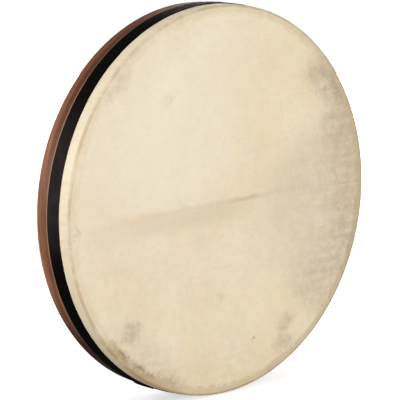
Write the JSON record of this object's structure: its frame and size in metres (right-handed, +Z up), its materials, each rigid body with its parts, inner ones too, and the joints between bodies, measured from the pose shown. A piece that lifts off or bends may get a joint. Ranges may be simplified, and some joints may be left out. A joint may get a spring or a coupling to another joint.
{
  "type": "bodhran",
  "caption": "Shallow round frame drum: goatskin stretched over a stained wooden hoop, black tape round the skin's edge, a crossbar and an inner tuning ring pushed by bolts.",
  "frame": {"origin": "centre of the whole drum", "axes": "the drum's axis is Y, with the skin facing -Y and the open back facing +Y; the crossbar stands along Z, +Z up"},
  "size_m": [0.4601, 0.059, 0.4601],
  "materials": {
    "stained_hoop": "walnut stain under satin lacquer",
    "goatskin": "natural scraped goatskin, matte",
    "black_tape": "matte black woven tape",
    "beech_ring": "bare steam-bent beech",
    "stained_crossbar": "walnut stain under satin lacquer",
    "zinc_steel": "bright zinc plate",
    "black_bolt_steel": "black oxide"
  },
  "bodies": {
    "drum": {"shell": "stained_hoop", "drum_skin": "goatskin", "trim_band": "black_tape", "crossbar": "stained_crossbar", "cleat_top": "stained_crossbar", "cleat_bottom": "stained_crossbar", "bracket_nuts": "zinc_steel", "bracket_screws": "zinc_steel", "cleat_screws": "zinc_steel", "crossbar_screws": "zinc_steel", "tuning_bracket_1": "zinc_steel", "tuning_bracket_2": "zinc_steel", "tuning_bracket_3": "zinc_steel", "tuning_bracket_4": "zinc_steel", "tuning_bracket_5": "zinc_steel", "tuning_bracket_6": "zinc_steel", "tuning_bracket_7": "zinc_steel", "tuning_bracket_8": "zinc_steel"},
    "ring": {"tuning_ring": "beech_ring", "wear_cup_1": "zinc_steel", "wear_cup_2": "zinc_steel", "wear_cup_3": "zinc_steel", "wear_cup_4": "zinc_steel", "wear_cup_5": "zinc_steel", "wear_cup_6": "zinc_steel", "wear_cup_7": "zinc_steel", "wear_cup_8": "zinc_steel"},
    "bolt_1": {"tuning_bolt_1": "black_bolt_steel"},
    "bolt_2": {"tuning_bolt_2": "black_bolt_steel"},
    "bolt_3": {"tuning_bolt_3": "black_bolt_steel"},
    "bolt_4": {"tuning_bolt_4": "black_bolt_steel"},
    "bolt_5": {"tuning_bolt_5": "black_bolt_steel"},
    "bolt_6": {"tuning_bolt_6": "black_bolt_steel"},
    "bolt_7": {"tuning_bolt_7": "black_bolt_steel"},
    "bolt_8": {"tuning_bolt_8": "black_bolt_steel"}
  },
  "joints": [
    {"name": "ring_slide", "type": "slide", "parent": "drum", "child": "ring", "axis": [0, -1, 0], "range_m": [-0.001, 0.003], "deforming": ["drum_skin"]},
    {"name": "bolt_1_turn", "type": "hinge", "parent": "ring", "child": "bolt_1", "pos_m": [0.1966, 0, 0.08143], "axis": [0, -1, 0], "range_deg": [-360, 1080]},
    {"name": "bolt_2_turn", "type": "hinge", "parent": "ring", "child": "bolt_2", "pos_m": [0.08143, 0, 0.1966], "axis": [0, -1, 0], "range_deg": [-360, 1080]},
    {"name": "bolt_3_turn", "type": "hinge", "parent": "ring", "child": "bolt_3", "pos_m": [-0.08143, 0, 0.1966], "axis": [0, -1, 0], "range_deg": [-360, 1080]},
    {"name": "bolt_4_turn", "type": "hinge", "parent": "ring", "child": "bolt_4", "pos_m": [-0.1966, 0, 0.08143], "axis": [0, -1, 0], "range_deg": [-360, 1080]},
    {"name": "bolt_5_turn", "type": "hinge", "parent": "ring", "child": "bolt_5", "pos_m": [-0.1966, 0, -0.08143], "axis": [0, -1, 0], "range_deg": [-360, 1080]},
    {"name": "bolt_6_turn", "type": "hinge", "parent": "ring", "child": "bolt_6", "pos_m": [-0.08143, 0, -0.1966], "axis": [0, -1, 0], "range_deg": [-360, 1080]},
    {"name": "bolt_7_turn", "type": "hinge", "parent": "ring", "child": "bolt_7", "pos_m": [0.08143, 0, -0.1966], "axis": [0, -1, 0], "range_deg": [-360, 1080]},
    {"name": "bolt_8_turn", "type": "hinge", "parent": "ring", "child": "bolt_8", "pos_m": [0.1966, 0, -0.08143], "axis": [0, -1, 0], "range_deg": [-360, 1080]}
  ],
  "couplings": [
    {"joint": "bolt_1_turn", "follows": "ring_slide", "rad_per_m": 6283.2},
    {"joint": "bolt_2_turn", "follows": "ring_slide", "rad_per_m": 6283.2},
    {"joint": "bolt_3_turn", "follows": "ring_slide", "rad_per_m": 6283.2},
    {"joint": "bolt_4_turn", "follows": "ring_slide", "rad_per_m": 6283.2},
    {"joint": "bolt_5_turn", "follows": "ring_slide", "rad_per_m": 6283.2},
    {"joint": "bolt_6_turn", "follows": "ring_slide", "rad_per_m": 6283.2},
    {"joint": "bolt_7_turn", "follows": "ring_slide", "rad_per_m": 6283.2},
    {"joint": "bolt_8_turn", "follows": "ring_slide", "rad_per_m": 6283.2}
  ]
}
